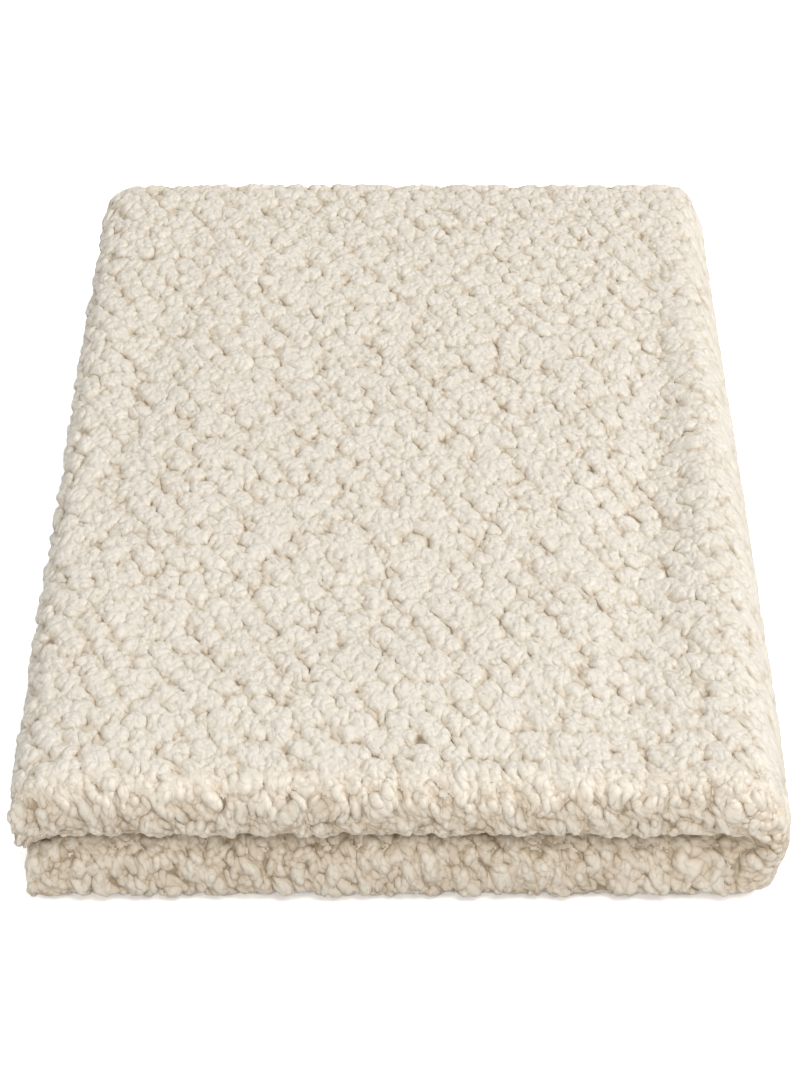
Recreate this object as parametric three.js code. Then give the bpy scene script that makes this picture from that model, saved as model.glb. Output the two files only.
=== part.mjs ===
// A teddy fleece throw with a chunky curled pile, folded in half three times and laid flat.
// Millimetres, +Z up.  X runs from the loose ends on the left to the last fold on the right, and Y
// from the rounded folds in front to the stacked hems behind.  The origin is under the middle of
// the folded throw, on the surface that it lies on.
import * as THREE from "three";

// ---- the cloth ----
const THROW_LENGTH = 1600;      // hem to hem, halved by the first fold and again by the last
const THROW_WIDTH = 1300;       // hem to hem, halved by the second fold
const LAYER_PITCH = 10;         // one layer, with the pile on both of its sides and its air
const AIR_GAP = 1;              // between two layers
const HEM_ROUND = 6;            // the pile falls away over this distance to a hem
const HEM_THICKNESS = 0.45;     // what is left at the hem itself, as a share

// ---- the folds: the middle line's radius is half the height of the cloth that is doubled ----
const FIRST_FOLD = LAYER_PITCH / 2;
const SECOND_FOLD = LAYER_PITCH;
const LAST_FOLD = 2 * LAYER_PITCH;
const STACK_HEIGHT = 8 * LAYER_PITCH;
const UPPER_OVERHANG = 7;       // the upper half's left end, past the lower half's hems

// ---- how the stack has settled ----
const LEFT_DROOP = { depth: 10, reach: 46, topShare: 0.45 };  // over the lower half's end
const LEFT_CORNER = { depth: 6, reach: 22, back: 30 };  // the front corner there hangs further
const LEFT_TAPER = 2.6;                         // the left side leans in towards the back
const FRONT_LEAN = { depth: 4, reach: 120 };    // the upper fold stands forward of the lower one
const FRONT_FOOT = { depth: 3.2, height: 0.2, reach: 30 };    // the lower fold spreads underneath
const FRONT_STEP = { depth: 3.5, reach: 30 };   // and steps back under the upper one
const SIDE_WAVE = { depth: 0.3, length: 310 };  // slow waves of the long sides, in plan
const ROLL_SAG = { depth: 3.6, reach: 90 };     // the last fold hangs fuller in its lower half
const ROLL_FOOT = { depth: 12, height: 0.22 };  // and spreads where it bears on the surface below
const ROLL_TUCK = { depth: 9, reach: 22 };      // its inside is drawn out towards its outside
const ROLL_FRONT = { depth: 2.2, reach: 40, back: 60 };       // it is a little slimmer in front
const BACK_CORNER = { left: 12, leftReach: 20, right: 2, rightReach: 13 };    // drawn in there

// Soft ridges and hollows of the upper face.  x and y are their middles from the left end and the
// front, heading turns their long way from +Y towards +X, in degrees, long and wide are half
// lengths, and rise is up.
const UPPER_FACE = [
  { name: "roll of the last fold", x: 393, y: 330, heading: 0, long: 300, wide: 16, rise: 3.0 },
  { name: "its full back end", x: 397, y: 650, heading: 0, long: 70, wide: 13, rise: 5.0 },
  { name: "hollow by the roll", x: 350, y: 300, heading: 5, long: 240, wide: 22, rise: -6.8 },
  { name: "rounded left edge", x: 0, y: 330, heading: 0, long: 600, wide: 10, rise: -4.0 },
  { name: "hollow by the left end", x: 40, y: 380, heading: 4, long: 170, wide: 22, rise: -3.2 },
  { name: "low ridge beyond it", x: 86, y: 400, heading: 5, long: 150, wide: 26, rise: 1.2 },
  { name: "full middle", x: 225, y: 400, heading: 20, long: 150, wide: 60, rise: 1.8 },
  { name: "full front", x: 190, y: 95, heading: 80, long: 150, wide: 42, rise: 2.4 },
  { name: "dip behind the front", x: 250, y: 210, heading: 68, long: 110, wide: 30, rise: -1.6 },
];

// ---- how finely each stretch of the cloth is divided ----
const FIRST_FOLD_STEPS = 4;     // a quarter turn
const SECOND_FOLD_STEPS = 5;    // a quarter turn
const LAST_FOLD_STEPS = 10;     // the whole half turn
const UPPER_HALF_STEPS = 9;
const LOWER_HALF_STEPS = 5;
const FRONT_TO_BACK_STEPS = 8;

const quarterTurn = (radius) => radius * Math.PI / 2;

// The cloth after the first fold is a strip from its closed end to its hems.  The last fold
// doubles that strip so that the upper half ends in the closed end.
const stripLength = 2 * FIRST_FOLD + THROW_LENGTH / 2 - quarterTurn(FIRST_FOLD);
const lastFoldArc = 2 * quarterTurn(LAST_FOLD);
const upperHalfRun = (stripLength - lastFoldArc + UPPER_OVERHANG) / 2;
const foldedWidth = upperHalfRun + 2 * LAST_FOLD;
const foldedDepth = 2 * SECOND_FOLD + THROW_WIDTH / 2 - quarterTurn(SECOND_FOLD);

// Cloth doubled round a fold.  "along" is measured from the fold on the cloth's middle line and
// "outward" away from the plane between its halves.  The result is the distance behind the fold's
// outermost face, and the height over that plane.
function doubled(along, outward, radius) {
  const straight = Math.abs(along) - quarterTurn(radius);
  if (straight > 0) {
    return { behind: 2 * radius + straight, height: Math.sign(along) * (radius + outward) };
  }
  const angle = along / radius;
  return {
    behind: 2 * radius - (radius + outward) * Math.cos(angle),
    height: (radius + outward) * Math.sin(angle),
  };
}

// A point of the cloth, lengthwise and crosswise from its middle and up through its thickness,
// taken through the three folds.
function folded(lengthwise, crosswise, through) {
  const first = doubled(lengthwise, through, FIRST_FOLD);
  const second = doubled(crosswise, first.height, SECOND_FOLD);
  const beforeLastFold = upperHalfRun + lastFoldArc / 2 - first.behind;
  const last = doubled(beforeLastFold, second.height, LAST_FOLD);
  return new THREE.Vector3(
    foldedWidth - last.behind,
    second.behind,
    STACK_HEIGHT / 2 + last.height,
  );
}

function upperFaceRise(x, y) {
  let rise = 0;
  for (const form of UPPER_FACE) {
    const heading = THREE.MathUtils.degToRad(form.heading);
    const offset = new THREE.Vector2(x - form.x, y - form.y);
    offset.rotateAround(new THREE.Vector2(), heading);
    rise += form.rise * Math.exp(-((offset.x / form.wide) ** 2) - (offset.y / form.long) ** 2);
  }
  return rise;
}

// What is left of an effect at a distance from where it is fullest.
const fading = (distance, reach) => Math.max(0, 1 - distance / reach);
const bell = (distance, reach) => Math.exp(-((distance / reach) ** 2));

// How far a point moves along X, where the last fold sags and the left side leans in.
function movedAlongX(x, y, z) {
  const level = z / STACK_HEIGHT;
  const fromRight = foldedWidth - x;
  const taper = LEFT_TAPER * (y / foldedDepth) ** 2 * fromRight / foldedWidth;
  const wave = SIDE_WAVE.depth * level * Math.sin(2 * Math.PI * y / SIDE_WAVE.length + 2 * level);
  const inRoll = fading(fromRight, ROLL_SAG.reach) ** 2;
  const sag = ROLL_SAG.depth * Math.max(-1, 1 - 4 * level);
  const foot = ROLL_FOOT.depth * fading(level, ROLL_FOOT.height);
  const fromAxis = Math.hypot(2 * LAST_FOLD - fromRight, z - STACK_HEIGHT / 2);
  const tuck = ROLL_TUCK.depth * bell(fromAxis, ROLL_TUCK.reach);
  const slimming = ROLL_FRONT.depth * fading(fromRight, ROLL_FRONT.reach) * bell(y, ROLL_FRONT.back);
  return taper + wave + inRoll * (sag + foot) + tuck - slimming;
}

// How far it moves along Y, at the front folds and at the two back corners.
function movedAlongY(x, y, z) {
  const level = z / STACK_HEIGHT;
  const inLower = Math.min(1, 2 * level);
  const lean = FRONT_LEAN.depth * level * Math.exp(-y / FRONT_LEAN.reach);
  const foot = FRONT_FOOT.depth * fading(level, FRONT_FOOT.height) * Math.exp(-y / FRONT_FOOT.reach);
  const step = FRONT_STEP.depth * 6.75 * inLower ** 2 * (1 - inLower) * Math.exp(-y / FRONT_STEP.reach);
  const drawnIn = (y / foldedDepth) ** 8 * (
    BACK_CORNER.left * fading(x, BACK_CORNER.leftReach) ** 2
    + BACK_CORNER.right * fading(foldedWidth - x, BACK_CORNER.rightReach) ** 2);
  return step - lean - foot - drawnIn;
}

// How far it sinks where the upper half's left end has nothing under it.
function sunk(x, y, z) {
  const level = z / STACK_HEIGHT;
  const droop = LEFT_DROOP.depth * fading(x, LEFT_DROOP.reach) ** 2
    + LEFT_CORNER.depth * fading(x, LEFT_CORNER.reach) ** 2 * bell(y, LEFT_CORNER.back);
  return droop * Math.min(2 * level, 1 - (1 - LEFT_DROOP.topShare) * (2 * level - 1));
}

// Moves a point of the neatly folded stack to where it has settled.  Every sinking fades to nothing
// at the surface below, so the underside stays flat, and no move lets two layers meet.
function settled({ x, y, z }) {
  return new THREE.Vector3(
    x + movedAlongX(x, y, z),
    y + movedAlongY(x, y, z),
    z + z / STACK_HEIGHT * upperFaceRise(x, y) - sunk(x, y, z),
  );
}

// Stations from the fold out to the hem, as distances along the cloth.  Each stretch runs to its
// end in that many equal steps.
function stations(stretches) {
  const places = [0];
  for (const { end, steps } of stretches) {
    const start = places.at(-1);
    for (let step = 1; step <= steps; step += 1) places.push(start + (end - start) * step / steps);
  }
  return places;
}

// The same stations on both sides of the fold, from hem to hem.
const fromHemToHem = (places) => [...places.slice(1).reverse().map((place) => -place), ...places];

const toLastFold = upperHalfRun - 2 * FIRST_FOLD + quarterTurn(FIRST_FOLD);
const lengthwisePlaces = fromHemToHem(stations([
  { end: quarterTurn(FIRST_FOLD), steps: FIRST_FOLD_STEPS },
  { end: toLastFold, steps: UPPER_HALF_STEPS },
  { end: toLastFold + lastFoldArc, steps: LAST_FOLD_STEPS },
  { end: THROW_LENGTH / 2 - HEM_ROUND, steps: LOWER_HALF_STEPS },
  { end: THROW_LENGTH / 2 - HEM_ROUND / 3, steps: 1 },
  { end: THROW_LENGTH / 2, steps: 1 },
]));
const crosswisePlaces = fromHemToHem(stations([
  { end: quarterTurn(SECOND_FOLD), steps: SECOND_FOLD_STEPS },
  { end: THROW_WIDTH / 2 - HEM_ROUND, steps: FRONT_TO_BACK_STEPS },
  { end: THROW_WIDTH / 2 - HEM_ROUND / 3, steps: 1 },
  { end: THROW_WIDTH / 2, steps: 1 },
]));

// Half of the layer's thickness: full but near the hems, where it rounds off.
function halfThickness(lengthwise, crosswise) {
  const toHem = Math.min(THROW_LENGTH / 2 - Math.abs(lengthwise), THROW_WIDTH / 2 - Math.abs(crosswise));
  const inside = Math.max(0, 1 - toHem / HEM_ROUND);
  const share = HEM_THICKNESS + (1 - HEM_THICKNESS) * Math.sqrt(1 - inside ** 2);
  return share * (LAYER_PITCH - AIR_GAP) / 2;
}

// One closed skin: the two faces of the cloth and the hem that joins them.
function throwGeometry() {
  const columns = lengthwisePlaces.length;
  const rows = crosswisePlaces.length;
  const points = [];
  for (const side of [1, -1]) {
    for (const crosswise of crosswisePlaces) {
      for (const lengthwise of lengthwisePlaces) {
        const through = side * halfThickness(lengthwise, crosswise);
        points.push(settled(folded(lengthwise, crosswise, through)));
      }
    }
  }
  const faceAt = (column, row) => row * columns + column;
  const backAt = (column, row) => columns * rows + faceAt(column, row);

  const triangles = [];
  const quad = (a, b, c, d, otherDiagonal) => {
    if (otherDiagonal) triangles.push(a, b, d, b, c, d);
    else triangles.push(a, b, c, a, c, d);
  };
  // The diagonals mirror across both folds, so that layers that lie together bend together.
  for (let row = 0; row < rows - 1; row += 1) {
    for (let column = 0; column < columns - 1; column += 1) {
      const mirrored = (column < (columns - 1) / 2) !== (row < (rows - 1) / 2);
      const corners = [[column, row], [column + 1, row], [column + 1, row + 1], [column, row + 1]];
      quad(...corners.map(([c, r]) => faceAt(c, r)), mirrored);
      quad(...corners.map(([c, r]) => backAt(c, r)).reverse(), !mirrored);
    }
  }
  const lastColumn = columns - 1;
  const lastRow = rows - 1;
  for (let column = 0; column < lastColumn; column += 1) {
    const next = column + 1;
    quad(backAt(column, 0), backAt(next, 0), faceAt(next, 0), faceAt(column, 0));
    quad(faceAt(column, lastRow), faceAt(next, lastRow), backAt(next, lastRow), backAt(column, lastRow));
  }
  for (let row = 0; row < lastRow; row += 1) {
    const next = row + 1;
    quad(faceAt(0, row), faceAt(0, next), backAt(0, next), backAt(0, row));
    quad(backAt(lastColumn, row), backAt(lastColumn, next),
      faceAt(lastColumn, next), faceAt(lastColumn, row));
  }

  const geometry = new THREE.BufferGeometry().setFromPoints(points);
  geometry.setIndex(triangles);
  geometry.computeBoundingBox();
  const middle = geometry.boundingBox.getCenter(new THREE.Vector3());
  geometry.translate(-middle.x, -middle.y, -geometry.boundingBox.min.z);
  geometry.computeVertexNormals();
  return geometry;
}

const creamPile = new THREE.MeshStandardMaterial({ color: 0xe2d8c8, roughness: 0.95, metalness: 0 });
const throwCloth = new THREE.Mesh(throwGeometry(), creamPile);
throwCloth.name = "throw_cloth";

const group = new THREE.Group();
group.add(throwCloth);

export default group;
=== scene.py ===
"""A teddy fleece throw with a chunky curled pile, folded in half three times and laid flat.

The knitted backing is one sheet of the whole throw.  The pile that can be seen is modelled on the
same folds as a skin of curls.  Lengths are millimetres until a mesh is written, which is in metres.
"""
import math

import bmesh
import bpy
import numpy as np
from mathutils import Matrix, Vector


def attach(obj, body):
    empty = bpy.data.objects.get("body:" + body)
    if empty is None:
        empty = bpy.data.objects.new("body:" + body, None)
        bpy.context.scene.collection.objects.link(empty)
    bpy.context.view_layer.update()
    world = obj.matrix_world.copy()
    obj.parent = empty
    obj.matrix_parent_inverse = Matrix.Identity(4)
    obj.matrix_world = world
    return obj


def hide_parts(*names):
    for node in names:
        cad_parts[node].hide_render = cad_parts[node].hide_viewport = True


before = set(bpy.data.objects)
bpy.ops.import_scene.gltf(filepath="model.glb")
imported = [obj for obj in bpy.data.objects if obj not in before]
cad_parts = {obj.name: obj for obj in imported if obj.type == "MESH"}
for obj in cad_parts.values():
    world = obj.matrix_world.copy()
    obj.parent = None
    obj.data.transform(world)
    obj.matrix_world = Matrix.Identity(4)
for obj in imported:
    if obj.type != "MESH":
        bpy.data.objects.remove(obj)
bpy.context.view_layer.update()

MM = 0.001
HALF_TURN = math.pi
QUARTER_TURN = math.pi / 2

# ---- the cloth and its folds, as the part's source has them ----
THROW_LENGTH = 1600                 # hem to hem, halved by the first fold and again by the last
THROW_WIDTH = 1300                  # hem to hem, halved by the second fold
LAYER_PITCH = 10                    # one layer, with the pile on both of its sides and its air
AIR_GAP = 1                         # between two layers
LAYER_HALF = (LAYER_PITCH - AIR_GAP) / 2
FIRST_FOLD = LAYER_PITCH / 2        # radius of the cloth's middle line, as in the next two
SECOND_FOLD = LAYER_PITCH
LAST_FOLD = 2 * LAYER_PITCH
STACK_HEIGHT = 8 * LAYER_PITCH
UPPER_OVERHANG = 7                  # the upper half's left end, past the lower half's hems

# ---- how the stack has settled, as the part's source has it; heights are shares of the stack ----
LEFT_DROOP = {"depth": 10, "reach": 46, "top_share": 0.45}      # over the lower half's end
LEFT_CORNER = {"depth": 6, "reach": 22, "back": 30}             # its front corner hangs further
LEFT_TAPER = 2.6                                                # the left side leans in at the back
FRONT_LEAN = {"depth": 4, "reach": 120}                         # the upper fold stands forward
FRONT_FOOT = {"depth": 3.2, "height": 0.2, "reach": 30}         # the lower fold spreads underneath
FRONT_STEP = {"depth": 3.5, "reach": 30}                        # and steps back under the upper one
STEP_CUBIC = 6.75                                               # brings that step's curve up to 1
SIDE_WAVE = {"depth": 0.3, "length": 310, "shift": 2}           # slow waves of the long sides
ROLL_SAG = {"depth": 3.6, "reach": 90, "level": 0.25}           # the last fold is fuller below this
ROLL_FOOT = {"depth": 12, "height": 0.22}                       # and spreads where it bears
ROLL_TUCK = {"depth": 9, "reach": 22}                           # its inside is drawn outwards
ROLL_FRONT = {"depth": 2.2, "reach": 40, "back": 60}            # it is a little slimmer in front
# how far the two back corners are drawn in, over what reach, and how sharply
BACK_CORNER = {"left": 12, "left_reach": 20, "right": 2, "right_reach": 13, "power": 8}
UPPER_FACE = [
    # x, y, heading from +Y towards +X in degrees, half length, half width, rise
    (393, 330, 0, 300, 16, 3.0),      # roll of the last fold
    (397, 650, 0, 70, 13, 5.0),       # its full back end
    (350, 300, 5, 240, 22, -6.8),     # hollow by the roll
    (0, 330, 0, 600, 10, -4.0),       # rounded left edge
    (40, 380, 4, 170, 22, -3.2),      # hollow by the left end
    (86, 400, 5, 150, 26, 1.2),       # low ridge beyond it
    (225, 400, 20, 150, 60, 1.8),     # full middle
    (190, 95, 80, 150, 42, 2.4),      # full front
    (250, 210, 68, 110, 30, -1.6),    # dip behind the front
]


def quarter_turn(radius):
    return radius * QUARTER_TURN


# what follows from them; the last two are distances along the cloth from its middle
STRIP_LENGTH = 2 * FIRST_FOLD + THROW_LENGTH / 2 - quarter_turn(FIRST_FOLD)
LAST_FOLD_ARC = 2 * quarter_turn(LAST_FOLD)
UPPER_HALF_RUN = (STRIP_LENGTH - LAST_FOLD_ARC + UPPER_OVERHANG) / 2
FOLDED_WIDTH = UPPER_HALF_RUN + 2 * LAST_FOLD
FOLDED_DEPTH = 2 * SECOND_FOLD + THROW_WIDTH / 2 - quarter_turn(SECOND_FOLD)
TO_LAST_FOLD = UPPER_HALF_RUN - 2 * FIRST_FOLD + quarter_turn(FIRST_FOLD)
PAST_LAST_FOLD = TO_LAST_FOLD + LAST_FOLD_ARC


def doubled(along, outward, radius):
    """Cloth doubled round a fold: how far behind the fold, and how far over its middle plane."""
    straight = np.maximum(0, np.abs(along) - quarter_turn(radius))
    angle = np.clip(along / radius, -QUARTER_TURN, QUARTER_TURN)
    behind = 2 * radius - (radius + outward) * np.cos(angle) + straight
    return behind, (radius + outward) * np.sin(angle)


def folded(lengthwise, crosswise, through):
    """A point of the cloth, from its middle, taken through the three folds."""
    strip, level = doubled(lengthwise, through, FIRST_FOLD)
    depth, level = doubled(crosswise, level, SECOND_FOLD)
    behind, level = doubled(UPPER_HALF_RUN + LAST_FOLD_ARC / 2 - strip, level, LAST_FOLD)
    return np.stack([FOLDED_WIDTH - behind, depth, STACK_HEIGHT / 2 + level], axis=-1)


def upper_face_rise(x, y):
    rise = np.zeros_like(x)
    for middle_x, middle_y, heading, long, wide, height in UPPER_FACE:
        turn = math.radians(heading)
        across = (x - middle_x) * math.cos(turn) - (y - middle_y) * math.sin(turn)
        along = (x - middle_x) * math.sin(turn) + (y - middle_y) * math.cos(turn)
        rise += height * np.exp(-((across / wide) ** 2) - (along / long) ** 2)
    return rise


def fading(distance, reach):
    """What is left of an effect at a distance from where it is fullest."""
    return np.maximum(0, 1 - distance / reach)


def bell(distance, reach):
    """The same for an effect with soft ends."""
    return np.exp(-((distance / reach) ** 2))


def moved_along_x(x, y, z):
    """How far a point moves along X, where the last fold sags and the left side leans in."""
    level = z / STACK_HEIGHT
    from_right = FOLDED_WIDTH - x
    taper = LEFT_TAPER * (y / FOLDED_DEPTH) ** 2 * from_right / FOLDED_WIDTH
    turn = 2 * math.pi * y / SIDE_WAVE["length"] + SIDE_WAVE["shift"] * level
    wave = SIDE_WAVE["depth"] * level * np.sin(turn)
    sag = ROLL_SAG["depth"] * np.maximum(-1, 1 - level / ROLL_SAG["level"])
    foot = ROLL_FOOT["depth"] * fading(level, ROLL_FOOT["height"])
    in_roll = fading(from_right, ROLL_SAG["reach"]) ** 2
    from_axis = np.hypot(2 * LAST_FOLD - from_right, z - STACK_HEIGHT / 2)
    tuck = ROLL_TUCK["depth"] * bell(from_axis, ROLL_TUCK["reach"])
    slimming = (ROLL_FRONT["depth"] * fading(from_right, ROLL_FRONT["reach"])
                * bell(y, ROLL_FRONT["back"]))
    return taper + wave + in_roll * (sag + foot) + tuck - slimming


def moved_along_y(x, y, z):
    """How far it moves along Y, at the front folds and at the two back corners."""
    level = z / STACK_HEIGHT
    in_lower = np.minimum(1, 2 * level)
    lean = FRONT_LEAN["depth"] * level * np.exp(-y / FRONT_LEAN["reach"])
    foot = (FRONT_FOOT["depth"] * fading(level, FRONT_FOOT["height"])
            * np.exp(-y / FRONT_FOOT["reach"]))
    step = (FRONT_STEP["depth"] * STEP_CUBIC * in_lower ** 2 * (1 - in_lower)
            * np.exp(-y / FRONT_STEP["reach"]))
    drawn_in = (y / FOLDED_DEPTH) ** BACK_CORNER["power"] * (
        BACK_CORNER["left"] * fading(x, BACK_CORNER["left_reach"]) ** 2
        + BACK_CORNER["right"] * fading(FOLDED_WIDTH - x, BACK_CORNER["right_reach"]) ** 2)
    return step - lean - foot - drawn_in


def sunk(x, y, z):
    """How far it sinks where the upper half's left end has nothing under it."""
    level = z / STACK_HEIGHT
    droop = (LEFT_DROOP["depth"] * fading(x, LEFT_DROOP["reach"]) ** 2
             + LEFT_CORNER["depth"] * fading(x, LEFT_CORNER["reach"]) ** 2
             * bell(y, LEFT_CORNER["back"]))
    return droop * np.minimum(2 * level, 1 - (1 - LEFT_DROOP["top_share"]) * (2 * level - 1))


def settled(points):
    """Moves points of the neatly folded stack to where they have settled."""
    x, y, z = points[..., 0], points[..., 1], points[..., 2]
    return np.stack([
        x + moved_along_x(x, y, z),
        y + moved_along_y(x, y, z),
        z + z / STACK_HEIGHT * upper_face_rise(x, y) - sunk(x, y, z),
    ], axis=-1)


def stack_middle(every=2):
    """The middle of the settled stack's plan, which is the origin, in the fold's own millimetres."""
    lengthwise, crosswise = np.meshgrid(
        np.linspace(-THROW_LENGTH / 2, THROW_LENGTH / 2, THROW_LENGTH // every + 1),
        np.linspace(-THROW_WIDTH / 2, THROW_WIDTH / 2, THROW_WIDTH // every + 1),
    )
    skin = settled(folded(lengthwise, crosswise, LAYER_HALF))
    low, high = skin.min(axis=(0, 1)), skin.max(axis=(0, 1))
    return np.array([(low[0] + high[0]) / 2, (low[1] + high[1]) / 2, 0])


MIDDLE = stack_middle()


def placed(lengthwise, crosswise, through):
    """Where a point of the cloth lies, in metres from the origin, and never under the surface."""
    points = settled(folded(lengthwise, crosswise, through)) - MIDDLE
    points[..., 2] = np.maximum(points[..., 2], 0)
    return points * MM


# ---- the pile: rows of clusters, packed with curled strands that lie over each other ----
PILE_FLOOR = 1.5                    # the deepest gaps, over the middle of the layer
PILE_MEAN = LAYER_HALF - PILE_FLOOR
CLUSTERS = {
    "spacing": (15.6, 12.8),        # along and across the lattice that they are knitted in
    "slant": -6.6,                  # how far along each row of it is shifted
    "jitter": 0.48,                 # how far a cluster strays from its cell's middle, as a share
    "half": (6.3, 8.2),             # half width and half length of a cluster
    "turn": -24,                    # degrees from across the lattice
    "turn_spread": 36,
    "sizes": (0.86, 1.16),
    "rises": (0.7, 1),
    "seed": 11,
}
STRANDS = [
    # width and length of a strand's cell, lean in degrees, where the cells start, the strands'
    # sizes as shares of the cell, how high they rise, and how much slimmer they are where they open
    {"cell": (5.2, 12.4), "lean": 27, "start": (0, 0),
     "sizes": (0.4, 0.68), "rises": (0.5, 1), "slimming": 0.12},
    {"cell": (5.0, 11.4), "lean": -3, "start": (371, 113),
     "sizes": (0.4, 0.68), "rises": (0.45, 0.95), "slimming": 0.12},
    {"cell": (4.0, 7.2), "lean": 40, "start": (-217, 359),
     "sizes": (0.42, 0.66), "rises": (0.25, 0.6), "slimming": -0.34},
]
TUFTS = {"cell": (2.7, 4.0), "lean": 12, "start": (77, -151),
         "sizes": (0.4, 0.7), "rises": (0.3, 1), "slimming": 0}
CLUSTER_HEIGHT = 1.4
STRAND_HEIGHT = 2.3
TUFT_HEIGHT = 0.5
PACKED = 0.4                        # how far the strands close up on top of a cluster
GAP_RELIEF = 0.3                    # what is left of the relief down in the gaps, as a share
WANDER = {"depth": 1.8, "length": 29, "seed": 51}       # the rows of clusters wander
CURL = {"depth": 1.5, "length": 7.0, "seed": 61}        # the strands bend and turn
OVERHANG = {"per_slope": 0.5, "most": 0.9}              # a strand's sides lean out over the gaps
FOLD_STRETCH = {"first": 0.9, "second": 0.75, "last": 0.45}     # how a fold draws the pile's face out
MARKS = ("along", "across", "cluster", "packed", "fullness", "opened")  # what the material reads

# ---- where the folds change it ----
OPEN_REACH = 1.4                    # where the pile opens round the front folds, in quarter turns
FOLD_OPENING = (0.95, 0.6)          # how much deeper its gaps are on the upper and the lower half
EVENED = {"share": 0.35, "height": 0.6}     # its clusters come that much nearer to one height
LIP_CURLS = (1.38, 1.3)             # how much larger its curls are, along and across
END_CURLS = (2.0, 1.05)             # and where they are laid on the stack's front right end
END_ROOM = 0.95                     # the relief there, as a share
OVERLAP = 1.6                       # how far two piles run on into each other where they change
SIDE_OPENING = {"more": 0.55, "reach": 1.5}     # it is deeper round the fold on the left too
ROLL_FLATNESS = 0.28                # how much flatter the pile lies round the last fold
FOOT_SPLAY = {"height": 16, "depth": 1.3, "at_end": 2.6}        # it spreads by the floor
PAINTED_CREASE_SHADE = [
    # where the front folds' pile has painted shade: level, reach and how much
    (37.5, 6.5, 0.85),              # painted shade in the crease between the two folds
    (0, 4.5, 0.9),                  # painted contact shade by the floor
]
FAN = {"outer": 38, "fade": 10, "turn_fade": 0.5}       # the front folds turn with the last fold
CREASE_DEPTH = 3.6                  # how far the fan's creases are drawn in
CREASE_END = 4                      # a crease has its full depth this far from its ends
FAN_CREASES = [
    # turn round the last fold in degrees, where it starts and ends from the axis, half width,
    # and its share of the depth
    (122, 3, 27, 2.0, 1.0),
    (174, 3, 38, 1.8, 1.0),
]

WORD = 0xFFFFFFFF                   # the hashes work on 32 bits
SEED_SPREAD = 1442695041            # odd numbers that scatter seeds, columns and rows over a word
COLUMN_SPREAD = 374761393
ROW_SPREAD = 668265263
STIRRING = 1274126177
NEIGHBOURS = [(column, row) for row in (-1, 0, 1) for column in (-1, 0, 1)]


def chance(seed, column, row):
    """An even number from 0 to 1 for each cell, from the last 24 bits of its hash."""
    mixed = (seed * SEED_SPREAD + column * COLUMN_SPREAD + row * ROW_SPREAD) & WORD
    mixed = ((mixed ^ (mixed >> 13)) * STIRRING) & WORD
    return ((mixed ^ (mixed >> 16)) & 0xFFFFFF) / 0x1000000


def between(limits, share):
    return limits[0] + (limits[1] - limits[0]) * share


def eased(share):
    share = np.clip(share, 0, 1)
    return share * share * (3 - 2 * share)


def wander(along, across, length, seed):
    """Smooth noise from -1 to 1 whose features are about that long."""
    u, v = along / length, across / length
    column, row = np.floor(u).astype(np.int64), np.floor(v).astype(np.int64)
    u, v = eased(u - column), eased(v - row)
    near = chance(seed, column, row) * (1 - u) + chance(seed, column + 1, row) * u
    far = chance(seed, column, row + 1) * (1 - u) + chance(seed, column + 1, row + 1) * u
    return 2 * (near * (1 - v) + far * v) - 1


def strayed(along, across, form):
    """The same place, moved by smooth noise."""
    return (along + form["depth"] * wander(along, across, form["length"], form["seed"]),
            across + form["depth"] * wander(along, across, form["length"], form["seed"] + 1))


def clusters(along, across):
    """Height, from 0 to 1, of the clusters on their slanting lattice."""
    wide, long = CLUSTERS["spacing"]
    half_wide, half_long = CLUSTERS["half"]
    slant, jitter, seed = CLUSTERS["slant"], CLUSTERS["jitter"], CLUSTERS["seed"]
    row_place = across / long
    column_place = (along - row_place * slant) / wide
    home_row = np.floor(row_place).astype(np.int64)
    home_column = np.floor(column_place).astype(np.int64)
    height = np.zeros_like(along)
    for column_step, row_step in NEIGHBOURS:
        column, row = home_column + column_step, home_row + row_step
        from_column = column_place - column - 0.5 - jitter * (chance(seed, column, row) - 0.5)
        from_row = row_place - row - 0.5 - jitter * (chance(seed + 1, column, row) - 0.5)
        aside, ahead = from_column * wide + from_row * slant, from_row * long
        turned = CLUSTERS["turn_spread"] * (chance(seed + 2, column, row) - 0.5)
        turn = np.radians(CLUSTERS["turn"] + turned)
        size = between(CLUSTERS["sizes"], chance(seed + 3, column, row))
        out = (((aside * np.cos(turn) - ahead * np.sin(turn)) / (half_wide * size)) ** 2
               + ((aside * np.sin(turn) + ahead * np.cos(turn)) / (half_long * size)) ** 2)
        rise = between(CLUSTERS["rises"], chance(seed + 4, column, row))
        height = np.maximum(height, rise * np.sqrt(np.maximum(0, 1 - out ** 2)))
    return height


def stirred(*words):
    """Whole numbers of 32 bits, one from each set of the words, as Blender's textures stir them."""
    start = np.uint32((0xDEADBEEF + (len(words) << 2) + 13) & WORD)
    first, second, third = (start + word for word in (*words, np.zeros_like(words[0]))[:3])

    def rolled(value, bits):
        return (value << np.uint32(bits)) | (value >> np.uint32(32 - bits))

    third = (third ^ second) - rolled(second, 14)
    first = (first ^ third) - rolled(third, 11)
    second = (second ^ first) - rolled(first, 25)
    third = (third ^ second) - rolled(second, 16)
    first = (first ^ third) - rolled(third, 4)
    second = (second ^ first) - rolled(first, 14)
    return (third ^ second) - rolled(second, 24)


def as_words(numbers):
    """The 32 bits of each number as Blender keeps it.  The sum turns a negative zero positive."""
    return (numbers + 0.0).astype(np.float32).view(np.uint32)


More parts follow.
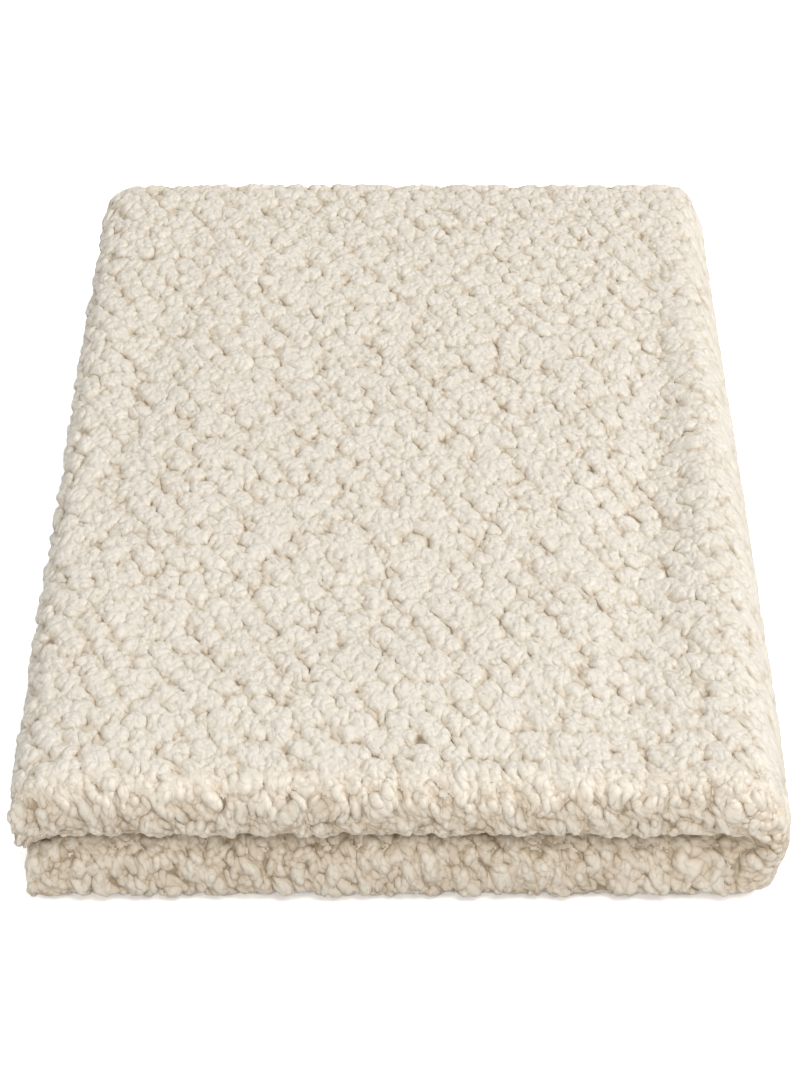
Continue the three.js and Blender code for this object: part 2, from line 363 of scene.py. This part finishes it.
def strand_layer(along, across, layer, opened=0):
    """Height, from 0 to 1, of one layer of strands: the cells of a flat Voronoi texture."""
    lean = math.radians(layer["lean"])
    aside, ahead = along - layer["start"][0], across - layer["start"][1]
    column_place = (aside * math.cos(lean) + ahead * math.sin(lean)) / layer["cell"][0]
    row_place = (ahead * math.cos(lean) - aside * math.sin(lean)) / layer["cell"][1]
    home_column, home_row = np.floor(column_place), np.floor(row_place)
    one, two = as_words(np.ones_like(along)), as_words(np.full_like(along, 2))
    near, pick = np.full_like(along, np.inf), np.zeros_like(along)
    for column_step, row_step in NEIGHBOURS:
        column, row = home_column + column_step, home_row + row_step
        words = as_words(column), as_words(row)
        distance = np.hypot(column + stirred(*words) / WORD - column_place,
                            row + stirred(*words, one) / WORD - row_place)
        pick = np.where(distance < near, stirred(*words, two) / WORD, pick)
        near = np.minimum(near, distance)
    size = between(layer["sizes"], pick) * (1 - layer["slimming"] * opened)
    return between(layer["rises"], pick) * np.sqrt(np.maximum(0, 1 - (near / size) ** 2))


def pile_place(lengthwise, crosswise):
    """Where a point lies on the pile's own face, which the outside of each fold draws out."""
    from_middle, from_front = np.abs(lengthwise), np.abs(crosswise)
    along = (from_middle
             + FOLD_STRETCH["first"] * np.minimum(from_middle, quarter_turn(FIRST_FOLD))
             + FOLD_STRETCH["last"] * np.clip(from_middle - TO_LAST_FOLD, 0, LAST_FOLD_ARC))
    across = (from_front
              + FOLD_STRETCH["second"] * np.minimum(from_front, quarter_turn(SECOND_FOLD)))
    return along * np.sign(lengthwise), across * np.sign(crosswise)


def pile(along, across, opened, room=1, opening=0):
    """The pile's height over PILE_FLOOR, and the marks that its material reads.

    It opens where it goes round a fold, and lies flat where it has little room.
    """
    cluster = clusters(*strayed(along, across, WANDER))
    curled = strayed(along, across, CURL)
    strand = np.maximum.reduce([strand_layer(*curled, layer, opened) for layer in STRANDS])
    tuft = strand_layer(*curled, TUFTS)
    packed = PACKED * cluster * (1 - opened)
    strand = strand + packed * (1 - strand)
    cluster = cluster + EVENED["share"] * opened * (EVENED["height"] - cluster)
    height = CLUSTER_HEIGHT * cluster + STRAND_HEIGHT * strand + TUFT_HEIGHT * tuft
    fullness = (1 + opening * opened) * room
    height = np.maximum(GAP_RELIEF * height, PILE_MEAN + (height - PILE_MEAN) * fullness)
    everywhere = np.ones_like(along)
    marks = (*curled, cluster, packed, fullness * everywhere, opened * everywhere)
    return height, dict(zip(MARKS, marks))


def corner_fan(lengthwise, crosswise):
    """How far a point is inside the front right corner's fan and its creases, both as shares.

    The front folds turn there with the last fold.
    """
    turned = (np.abs(lengthwise) - TO_LAST_FOLD) / LAST_FOLD
    angle = np.clip(crosswise / SECOND_FOLD, -QUARTER_TURN, QUARTER_TURN)
    radius = LAST_FOLD + 2 * SECOND_FOLD * np.sin(angle)
    inside = (eased((FAN["outer"] - radius) / FAN["fade"])
              * eased(1 + turned / FAN["turn_fade"])
              * eased(1 + (HALF_TURN - turned) / FAN["turn_fade"]))
    creases = np.zeros_like(inside)
    for turn, start, end, wide, share in FAN_CREASES:
        aside = radius * (turned - math.radians(turn))
        run = eased((radius - start) / CREASE_END) * eased((end - radius) / CREASE_END)
        creases = np.maximum(creases, share * run * bell(aside, wide))
    return inside, creases


def piles_together(lengthwise, crosswise, room):
    """The highest of the piles that lie over each other at each point.

    Returns its height, every pile's marks and which pile is the highest.
    """
    skin = settled(folded(lengthwise, crosswise, LAYER_HALF))
    along, across = pile_place(lengthwise, crosswise)
    opened = np.clip(OPEN_REACH - np.abs(crosswise) / quarter_turn(SECOND_FOLD), 0, 1)
    round_left = SIDE_OPENING["reach"] - np.abs(lengthwise) / quarter_turn(FIRST_FOLD)
    turned = np.clip((np.abs(lengthwise) - TO_LAST_FOLD) / LAST_FOLD_ARC, 0, 1)
    room = np.minimum(1, room) * (1 - ROLL_FLATNESS * np.sin(HALF_TURN * turned))
    room += SIDE_OPENING["more"] * np.clip(round_left, 0, 1)
    opening = between(FOLD_OPENING, turned)
    inside, creases = corner_fan(lengthwise, crosswise)
    # each pile's share, and the pile: on the faces, round the front folds and in the fan
    piles = [((1 - opened) * (1 - inside), *pile(along, across, opened, room, opening))]
    if opened.max() > 0:
        piles.append((opened * (1 - inside),
                      *pile(along / LIP_CURLS[0], across / LIP_CURLS[1], opened, room, opening)))
    if inside.max() > 0:
        piles.append((inside, *pile(skin[..., 0] / END_CURLS[0], skin[..., 2] / END_CURLS[1],
                                    opened, END_ROOM, opening)))
    shares = np.stack([np.minimum(1, OVERLAP * share) for share, _, _ in piles])
    heights = np.stack([height for _, height, _ in piles]) * shares
    splay = (fading(skin[..., 2], FOOT_SPLAY["height"])
             * (FOOT_SPLAY["depth"] * opened + FOOT_SPLAY["at_end"] * inside))
    height = heights.max(axis=0) - CREASE_DEPTH * creases + splay
    marks = {mark: np.stack([values[mark] for _, _, values in piles]) for mark in MARKS}
    marks["fullness"] *= shares
    # painted shade: the colour is darker in the fan's creases
    marks["cluster"] -= creases
    # painted shade: the colour is darker in the crease between the front folds and by the floor
    for level, reach, shade in PAINTED_CREASE_SHADE:
        marks["cluster"] -= shade * opened * bell(skin[..., 2] - level, reach)
    return height, marks, heights.argmax(axis=0)


# ---- meshes ----
SAME = 0.01                         # a station this close to a limit is at it
MEETING = 0.01 * MM                 # corners on a mesh's borders that are this close become one
MARGIN = 2                          # stations past a patch's border that its slopes are taken from
LEAST_DRAWN = 0.3                   # the cloth counts as drawn together no further than this share
TINY = 1e-12                        # keeps a normal of no length from dividing by nothing
FACE_CORNERS = 4


def evenly(start, end, step):
    """Stations about that far apart, an even number of steps in all."""
    return np.linspace(start, end, 2 * max(1, round(abs(end - start) / step / 2)) + 1)


def joined(*stretches):
    """Stretches of stations end to end, each shared end once."""
    return np.concatenate([stretches[0]] + [stretch[1:] for stretch in stretches[1:]])


def with_neighbours(stations, first, last, count):
    """The stations from first to last, and that many more at both ends."""
    before = stations[0] + np.arange(-count, 0) * (stations[1] - stations[0])
    after = stations[-1] + np.arange(1, count + 1) * (stations[-1] - stations[-2])
    start, end = np.searchsorted(stations, (first - SAME, last - SAME))
    return np.concatenate([before, stations, after])[start:end + 2 * count + 1]


def merge_meeting_borders(mesh):
    shell = bmesh.new()
    shell.from_mesh(mesh)
    border = [corner for corner in shell.verts if corner.is_boundary]
    bmesh.ops.remove_doubles(shell, verts=border, dist=MEETING)
    shell.to_mesh(mesh)
    shell.free()


def grid_piece(name, points, marks, normals=None, highest=None):
    """A sheet of faces with its corners at points[row, column]; without normals, its borders meet.

    Where several piles lie over each other, each mark has one array for each of them, and a face
    takes its marks from the highest.
    """
    rows, columns = points.shape[0] - 1, points.shape[1] - 1
    shell = bmesh.new()
    bmesh.ops.create_grid(shell, x_segments=columns, y_segments=rows, size=0.5)
    mesh = bpy.data.meshes.new(name)
    shell.to_mesh(mesh)
    shell.free()
    corners = np.empty(len(mesh.vertices) * 3)
    mesh.vertices.foreach_get("co", corners)
    corners = corners.reshape(-1, 3)
    column = np.rint((corners[:, 0] + 0.5) * columns).astype(int)
    row = np.rint((corners[:, 1] + 0.5) * rows).astype(int)
    mesh.vertices.foreach_set("co", points[row, column].ravel())
    if highest is None:
        domain, wanted = "POINT", (row, column)
    else:
        owner = np.empty(len(mesh.loops), dtype=np.int32)
        mesh.loops.foreach_get("vertex_index", owner)
        of_face = highest[row[owner[::FACE_CORNERS]], column[owner[::FACE_CORNERS]]]
        domain, wanted = "CORNER", (np.repeat(of_face, FACE_CORNERS), row[owner], column[owner])
    for mark, values in marks.items():
        layer = mesh.attributes.new(mark, "FLOAT", domain)
        layer.data.foreach_set("value", values[wanted].astype(np.float32))
    if normals is None:
        merge_meeting_borders(mesh)
    mesh.shade_smooth()
    if normals is not None:
        mesh.normals_split_custom_set_from_vertices(normals[row, column].tolist())
    piece = bpy.data.objects.new(name, mesh)
    bpy.context.collection.objects.link(piece)
    return piece


def pile_patch(name, along_limits, across_limits, every=1):
    """The strands over one stretch of the cloth's face, which meets the next patch without a seam.

    Where they hardly show, every=2 leaves out every second station across the cloth.
    """
    stations = (with_neighbours(ALONG, *along_limits, MARGIN),
                with_neighbours(ACROSS, *across_limits, MARGIN * every)[::every])
    lengthwise, crosswise = np.meshgrid(*stations)
    skin = settled(folded(lengthwise, crosswise, LAYER_HALF))
    along = pile_place(lengthwise, crosswise)[0]
    room = (np.linalg.norm(np.gradient(skin, stations[0], axis=1), axis=-1)
            / np.gradient(along, stations[0], axis=1))
    height, marks, highest = piles_together(lengthwise, crosswise, room)
    points = placed(lengthwise, crosswise, PILE_FLOOR + height)
    for axis, places in ((1, stations[0]), (0, stations[1])):
        way = np.gradient(skin, places, axis=axis)
        drawn = np.maximum(np.linalg.norm(way, axis=-1), LEAST_DRAWN)
        lean = OVERHANG["per_slope"] * np.gradient(height, places, axis=axis) / drawn
        lean = np.clip(lean, -OVERHANG["most"], OVERHANG["most"])
        points -= (lean / drawn)[..., None] * way * MM
    points[..., 2] = np.maximum(points[..., 2], 0)
    normals = np.cross(np.gradient(points, stations[0], axis=1),
                       np.gradient(points, stations[1], axis=0))
    normals /= np.maximum(np.linalg.norm(normals, axis=-1, keepdims=True), TINY)
    inner = (slice(MARGIN, -MARGIN), slice(MARGIN, -MARGIN))
    marks = {mark: values[:, *inner] for mark, values in marks.items()}
    return grid_piece(name, points[inner], marks, normals[inner], highest[inner])


# ---- where the pile is modelled, as distances along the cloth ----
FINE = 1.1                          # grid on the faces that show most
MEDIUM = 1.25
ROUND_FOLD = 0.52                   # how much closer it is where a fold draws the cloth out
TUCKED = 8                          # pile that runs on into a gap between layers
HEM_ROLL = LAYER_HALF               # the hem is a half round of the layer's own thickness
HEM_CORNER = 9                      # radius of the throw's corners
HEM_CORNER_STEPS = 8
HEM_STEP = 2.2
HEM_ACROSS = 1.3
HEM_FINE_STEP = 1.1                 # where the hem shows, which is round the last fold,
END_SHOWS = 30                      # and the end hems show this far each way from the second fold

first_turn = quarter_turn(FIRST_FOLD)
second_turn = quarter_turn(SECOND_FOLD)
to_end_hem = THROW_LENGTH / 2 - HEM_ROLL
to_side_hem = THROW_WIDTH / 2 - HEM_ROLL
middle_of_upper = (first_turn + TO_LAST_FOLD) / 2

ALONG = joined(
    evenly(-first_turn - TUCKED, -first_turn, MEDIUM),
    evenly(-first_turn, first_turn, MEDIUM * ROUND_FOLD),
    evenly(first_turn, middle_of_upper, FINE),
    evenly(middle_of_upper, TO_LAST_FOLD, FINE),
    evenly(TO_LAST_FOLD, PAST_LAST_FOLD, FINE * ROUND_FOLD),
    evenly(PAST_LAST_FOLD, to_end_hem, MEDIUM),
)
ACROSS = joined(
    evenly(-to_side_hem, -second_turn - TUCKED, MEDIUM),
    evenly(-second_turn - TUCKED, -second_turn, MEDIUM),
    evenly(-second_turn, second_turn, MEDIUM * ROUND_FOLD),
    evenly(second_turn, to_side_hem, FINE),
)


def hem_line():
    """The middle of the hem's half round, all the way round the throw, and the way out from it."""
    side_half, end_half = to_side_hem - HEM_CORNER, to_end_hem - HEM_CORNER
    end_run = joined(
        evenly(side_half, END_SHOWS, HEM_STEP),
        evenly(END_SHOWS, -END_SHOWS, HEM_FINE_STEP),
        evenly(-END_SHOWS, -side_half, HEM_STEP),
    )
    half_side = joined(
        evenly(0, TO_LAST_FOLD, HEM_STEP),
        evenly(TO_LAST_FOLD, PAST_LAST_FOLD, HEM_FINE_STEP),
        evenly(PAST_LAST_FOLD, end_half, HEM_STEP),
    )
    side_run = joined(-half_side[::-1], half_side)
    sides = [
        # lengthwise and crosswise, and the centre of the corner that follows
        (to_end_hem, end_run, (end_half, -side_half)),
        (-side_run, -to_side_hem, (-end_half, -side_half)),
        (-to_end_hem, -end_run, (-end_half, side_half)),
        (side_run, to_side_hem, (end_half, side_half)),
    ]
    lengthwise, crosswise, outward = [], [], []
    for side, (long, cross, centre) in enumerate(sides):
        straight = -side * QUARTER_TURN
        corner = straight - np.linspace(0, QUARTER_TURN, HEM_CORNER_STEPS + 1)[1:-1]
        long, cross = np.broadcast_arrays(long, cross)
        lengthwise += [long, centre[0] + HEM_CORNER * np.cos(corner)]
        crosswise += [cross, centre[1] + HEM_CORNER * np.sin(corner)]
        outward += [np.full(len(long), straight), corner]
    return [np.concatenate([*part, part[0][:1]]) for part in (lengthwise, crosswise, outward)]


def hem_piece(name):
    """The rolled hem, from one face of the cloth round to the other, all along the throw's edge."""
    lengthwise, crosswise, outward = hem_line()
    roll_arc = HALF_TURN * HEM_ROLL
    out_long, out_cross = np.cos(outward), np.sin(outward)
    reach = evenly(-TUCKED, roll_arc + TUCKED, HEM_ACROSS)[:, None]
    roll = np.clip(reach / HEM_ROLL, 0, HALF_TURN)
    run = np.minimum(reach, 0) - np.maximum(reach - roll_arc, 0)
    height, marks, highest = piles_together(
        lengthwise + out_long * reach, crosswise + out_cross * reach, np.ones_like(roll + out_long))
    thickness = PILE_FLOOR + height
    aside = thickness * np.sin(roll) + run
    points = placed(lengthwise + out_long * aside, crosswise + out_cross * aside,
                    thickness * np.cos(roll))
    return grid_piece(name, points, marks, highest=highest)


BACKING_THICKNESS = 2.4
BACKING_STEPS = {"flat": 26, "first": 1.6, "second": 2.6, "last": 4}    # last three: round the folds
BACKING_PAINTED_SHADE = -1.0                # painted shade: darker than the pile's deepest gaps, so it reads as a shaded gap where it shows


def backing_piece(name):
    """The knitted backing that carries the pile: the whole throw, through all its folds."""
    half_length = joined(
        evenly(0, first_turn, BACKING_STEPS["first"]),
        evenly(first_turn, TO_LAST_FOLD, BACKING_STEPS["flat"]),
        evenly(TO_LAST_FOLD, PAST_LAST_FOLD, BACKING_STEPS["last"]),
        evenly(PAST_LAST_FOLD, to_end_hem, BACKING_STEPS["flat"]),
    )
    half_width = joined(
        evenly(0, second_turn, BACKING_STEPS["second"]),
        evenly(second_turn, to_side_hem, BACKING_STEPS["flat"]),
    )
    lengthwise, crosswise = np.meshgrid(
        joined(-half_length[::-1], half_length), joined(-half_width[::-1], half_width))
    marks = pile(lengthwise, crosswise, 0)[1]
    # painted shade on the backing, darker than any gap in the pile
    marks["cluster"] = np.full_like(lengthwise, BACKING_PAINTED_SHADE)
    piece = grid_piece(name, placed(lengthwise, crosswise, np.zeros_like(lengthwise)), marks)
    thick = piece.modifiers.new("knit", "SOLIDIFY")
    thick.thickness = BACKING_THICKNESS * MM
    thick.offset = 0
    return piece


# ---- finishes ----
class Flow:
    """A shader socket that Python's operators work on."""

    def __init__(self, tree, socket=None):
        self.tree, self.socket = tree, socket

    def node(self, kind, settings=None, output=0, **inputs):
        """The output of a new node, with its settings made first and its sockets filled next.

        An input is named by its label, with _ for a space, or by i and its number.
        """
        made = self.tree.nodes.new(kind)
        for name, value in (settings or {}).items():
            if name == "stops":
                ramp = made.color_ramp
                while len(ramp.elements) < len(value):
                    ramp.elements.new(0.5)
                for element, (place, shade) in zip(ramp.elements, value):
                    element.position, element.color = place, (*colour(*shade), 1)
            else:
                setattr(made, name, value)
        for name, value in inputs.items():
            key = int(name[1:]) if name[1:].isdigit() else name.replace("_", " ")
            if isinstance(value, Flow):
                self.tree.links.new(value.socket, made.inputs[key])
            else:
                made.inputs[key].default_value = value
        return Flow(self.tree, made.outputs[output] if made.outputs else None)

    def maths(self, operation, first, second):
        return self.node("ShaderNodeMath", {"operation": operation}, i0=first, i1=second)

    def __add__(self, other):
        return self.maths("ADD", self, other)

    def __sub__(self, other):
        return self.maths("SUBTRACT", self, other)

    def __rsub__(self, other):
        return self.maths("SUBTRACT", other, self)

    def __mul__(self, other):
        return self.maths("MULTIPLY", self, other)

    def __truediv__(self, other):
        return self.maths("DIVIDE", self, other)

    __radd__, __rmul__ = __add__, __mul__


def colour(red, green, blue):
    """A colour as it is seen, from 0 to 255, as the linear light that Blender mixes: sRGB's curve."""
    shares = (red / 255, green / 255, blue / 255)
    return tuple(s / 12.92 if s <= 0.04045 else ((s + 0.055) / 1.055) ** 2.4 for s in shares)


def blank_material(name):
    material = bpy.data.materials.new(name)
    material.use_nodes = True
    material.node_tree.nodes.clear()
    return material, Flow(material.node_tree)


PILE_COLOURS_AND_GAP_SHADE = [
    # depth, from the deepest gaps to the tips, and the colour there: the cream of the tips, with
    # painted shade down in the gaps
    (0.0, (172, 154, 128)),
    (0.3, (219, 205, 184)),
    (0.6, (234, 226, 211)),
    (1.0, (240, 233, 221)),
]
MIDDLE_DEPTH = 0.6                  # all over pile that lies flat
# how each relief sets the depth that picks the colour and its painted shade
DEPTH_SHARES = {"cluster": 0.28, "strand": 0.56, "tuft": 0.16}
PAINTED_FOLD_SHADE = {"shadow_line": 0.19, "gap": 0.16, "all": 0.06}     # painted shade where the front folds open the pile: shadow lines, gaps and all over
SHADOW_LINE_WIDTH = 0.16                # a strand this much over the next one is clear of its painted shadow line
GAP_STEEPNESS = 3.5                 # a gap's painted shade ends at 1 / 3.5 of a strand's height
# brightness: a base, a random drift and strand tone, and painted light on the front folds
TONE_AND_FOLD_LIGHT = {"least": 0.93, "drift": 0.06, "tone": 0.07, "opened": 0.09}
PAINTED_FOLD_WARMTH = (1.0, 0.974, 0.945, 1)  # painted warm shade: the front folds are a little warmer
BUMP = {"fibres": 0.25, "tuft": 0.5}        # heights in the bump, where a strand's is 1
BUMP_DEPTH = 1.0 * MM               # how deep that 1 is
PILE_ROUGHNESS = 0.52
PILE_SHEEN = {"weight": 0.1, "roughness": 0.5}
DRIFT_NOISE = {"Scale": 9.0, "Detail": 2.0}
FIBRE_NOISE = {"Scale": 900.0, "Detail": 3.0, "Roughness": 0.6}


def curled_pile_material():
    """Cream strands with painted shade, warmer and darker, down in the partings between them, painted
    light and warm shade on the front folds, small tufts and a fibre grain.
    """
    material, tree = blank_material("cream curled pile")

    def mark(name):
        return tree.node("ShaderNodeAttribute", {"attribute_name": name}, output="Fac")

    def highest(first, second):
        return tree.maths("MAXIMUM", first, second)

    opened = mark("opened")
    place = tree.node("ShaderNodeTexCoord", output="Object")
    curled = tree.node("ShaderNodeCombineXYZ", X=mark("along"), Y=mark("across"), Z=0.0)

    def strand_layer(layer):
        """The same layer as the one that moves the mesh, and a tone for each of its strands."""
        cells = tree.node("ShaderNodeMapping", {"vector_type": "TEXTURE"}, Vector=curled,
                          Location=(*layer["start"], 0), Rotation=(0, 0, math.radians(layer["lean"])),
                          Scale=(*layer["cell"], 1))
        settings = {"voronoi_dimensions": "2D", "feature": "F1"}
        near, picks = (tree.node("ShaderNodeTexVoronoi", settings, output, Vector=cells, Scale=1.0,
                                 Randomness=1.0) for output in ("Distance", "Color"))
        pick = tree.node("ShaderNodeSeparateColor", output="Blue", Color=picks)
        size = between(layer["sizes"], pick) * (1 - layer["slimming"] * opened)
        out = near / size
        height = between(layer["rises"], pick) * tree.maths("SQRT", highest(1 - out * out, 0.0), 0.0)
        return height, tree.node("ShaderNodeSeparateColor", output="Red", Color=picks)

    strand, tone = strand_layer(STRANDS[0])
    under = 0.0
    for layer in STRANDS[1:]:
        other, other_tone = strand_layer(layer)
        higher = tree.maths("GREATER_THAN", other, strand)
        tone = tree.node("ShaderNodeMix", Factor=higher, i2=tone, i3=other_tone)
        under = highest(under, tree.maths("MINIMUM", strand, other))
        strand = highest(strand, other)
    # painted shade on the front folds: a shadow line where one strand meets the next, and shade in
    # the gaps
    clear = (strand - under) / SHADOW_LINE_WIDTH
    strand = strand + mark("packed") * (1 - strand)
    shadow_line = opened * highest(1 - clear, 0.0)
    gap = opened * highest(1 - GAP_STEEPNESS * strand, 0.0)
    tuft = strand_layer(TUFTS)[0]
    fullness = mark("fullness")
    # the depth in the pile picks the cream of the tips or the painted shade of the gaps
    relief = (DEPTH_SHARES["cluster"] * mark("cluster") + DEPTH_SHARES["strand"] * strand
              + DEPTH_SHARES["tuft"] * tuft)
    depth = (MIDDLE_DEPTH + (relief - MIDDLE_DEPTH) * tree.maths("MINIMUM", fullness, 1.0)
             - PAINTED_FOLD_SHADE["shadow_line"] * shadow_line - PAINTED_FOLD_SHADE["gap"] * gap - PAINTED_FOLD_SHADE["all"] * opened)
    shade = tree.node("ShaderNodeValToRGB", {"stops": PILE_COLOURS_AND_GAP_SHADE}, Fac=depth)
    drift = tree.node("ShaderNodeTexNoise", Vector=place, **DRIFT_NOISE)
    # random tone, and painted light that brightens the front folds
    tone_and_fold_light = (TONE_AND_FOLD_LIGHT["least"] + TONE_AND_FOLD_LIGHT["drift"] * drift + TONE_AND_FOLD_LIGHT["tone"] * tone
            + TONE_AND_FOLD_LIGHT["opened"] * opened)
    tinted = tree.node("ShaderNodeVectorMath", {"operation": "SCALE"}, i0=shade, Scale=tone_and_fold_light)
    # painted warm shade over the front folds
    warmed = tree.node("ShaderNodeMix", {"data_type": "RGBA", "blend_type": "MULTIPLY"}, output=2,
                       Factor=opened, i6=tinted, i7=PAINTED_FOLD_WARMTH)
    fibres = tree.node("ShaderNodeTexNoise", Vector=place, **FIBRE_NOISE)
    raised = BUMP["fibres"] * fibres + (strand + BUMP["tuft"] * tuft) * fullness
    grain = tree.node("ShaderNodeBump", Strength=1.0, Distance=BUMP_DEPTH, Height=raised)
    cloth = tree.node("ShaderNodeBsdfPrincipled", Base_Color=warmed, Roughness=PILE_ROUGHNESS,
                      Normal=grain, Sheen_Weight=PILE_SHEEN["weight"],
                      Sheen_Roughness=PILE_SHEEN["roughness"])
    tree.node("ShaderNodeOutputMaterial", Surface=cloth)
    return material


# ---- the studio ----
SENSOR_WIDTH = 36
CAMERA_LENS = 146.2                 # mm, as the sensor's width
CAMERA_TILT = math.radians(34.4)    # down from level
CAMERA_PLACE = (-0.002, -1.622, 1.127)
LAMPS = [
    # name, place and width in metres, power in watts
    ("window", (3.2, 1.2, 2.4), 1.2, 99),
    ("left fill", (-3.4, 0.4, 2.0), 1.6, 43),
    ("overhead", (0.0, 0.4, 4.2), 1.8, 17),
    ("front", (0.8, -2.2, 3.6), 1.8, 60),
    ("low front", (0.4, -4.4, 1.2), 1.8, 48),
]
LAMP_AIM = Vector((0, 0, 0.05))
SKY_STRENGTH = 0.17
FLOOR_HALF = 6
FLOOR_DROP = 0.0003                 # under the throw, so that the two never share a plane
FLOOR_COLOUR = 0.7                  # what the throw gets back from it
FLOOR_SEEN = 1.7                    # what the camera sees of it, brighter than a real floor can be
FLOOR_GLOW = 0.25


def grey(level):
    return (level, level, level, 1)


def floor_material():
    """White in the picture, with the throw's shadow kept."""
    material, tree = blank_material("pale floor")
    surface = tree.node("ShaderNodeBsdfDiffuse", Color=grey(FLOOR_COLOUR))
    lit = tree.node("ShaderNodeBsdfDiffuse", Color=grey(FLOOR_SEEN))
    glow = tree.node("ShaderNodeEmission", Color=grey(1), Strength=FLOOR_GLOW)
    bright = tree.node("ShaderNodeAddShader", i0=lit, i1=glow)
    seen = tree.node("ShaderNodeLightPath", output="Is Camera Ray")
    shown = tree.node("ShaderNodeMixShader", Fac=seen, i1=surface, i2=bright)
    tree.node("ShaderNodeOutputMaterial", Surface=shown)
    return material


def add_camera():
    eye = bpy.data.cameras.new("camera")
    eye.sensor_fit = "HORIZONTAL"
    eye.sensor_width = SENSOR_WIDTH
    eye.lens = CAMERA_LENS
    camera = bpy.data.objects.new("camera", eye)
    camera.location = CAMERA_PLACE
    camera.rotation_euler = (QUARTER_TURN - CAMERA_TILT, 0, 0)
    bpy.context.collection.objects.link(camera)
    bpy.context.scene.camera = camera


def add_lamp(name, place, size, power):
    light = bpy.data.lights.new(name, "AREA")
    light.shape, light.size, light.energy = "DISK", size, power
    lamp = bpy.data.objects.new(name, light)
    lamp.location = place
    lamp.rotation_euler = (LAMP_AIM - Vector(place)).to_track_quat("-Z", "Y").to_euler()
    bpy.context.collection.objects.link(lamp)


def add_sky():
    world = bpy.data.worlds.new("studio")
    world.use_nodes = True
    bpy.context.scene.world = world
    world.node_tree.nodes.clear()
    tree = Flow(world.node_tree)
    seen = tree.node("ShaderNodeLightPath", output="Is Camera Ray")
    sky = tree.node("ShaderNodeBackground", Color=grey(1), Strength=SKY_STRENGTH)
    white = tree.node("ShaderNodeBackground", Color=grey(1), Strength=1.0)
    shown = tree.node("ShaderNodeMixShader", Fac=seen, i1=sky, i2=white)
    tree.node("ShaderNodeOutputWorld", Surface=shown)


def add_floor():
    shell = bmesh.new()
    bmesh.ops.create_grid(shell, x_segments=1, y_segments=1, size=FLOOR_HALF)
    bmesh.ops.translate(shell, verts=shell.verts, vec=(0, 0, -FLOOR_DROP))
    mesh = bpy.data.meshes.new("floor")
    shell.to_mesh(mesh)
    shell.free()
    mesh.materials.append(floor_material())
    floor = bpy.data.objects.new("floor", mesh)
    bpy.context.collection.objects.link(floor)


# ---- the throw ----
add_camera()
add_sky()
for lamp in LAMPS:
    add_lamp(*lamp)
add_floor()

upper, lower = (second_turn, to_side_hem), (-to_side_hem, -second_turn)
front = (-second_turn - TUCKED, second_turn)
pile_pieces = [
    pile_patch("pile_upper_left", (first_turn, middle_of_upper), upper),
    pile_patch("pile_upper_right", (middle_of_upper, TO_LAST_FOLD), upper),
    pile_patch("pile_last_fold", (TO_LAST_FOLD, PAST_LAST_FOLD), upper),
    pile_patch("pile_left_roll_upper", (-first_turn - TUCKED, first_turn), upper),
    pile_patch("pile_left_roll_lower", (-first_turn - TUCKED, first_turn), lower),
    pile_patch("pile_front_folds", (-first_turn - TUCKED, to_end_hem), front),
    pile_patch("pile_base", (PAST_LAST_FOLD, to_end_hem), upper, every=2),
    hem_piece("pile_hem"),
]
backing = backing_piece("knitted_backing")
finish = curled_pile_material()
for piece in [backing, *pile_pieces]:
    piece.data.materials.append(finish)
    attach(piece, "root")
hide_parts("throw_cloth")

bpy.context.scene.view_settings.view_transform = "Standard"
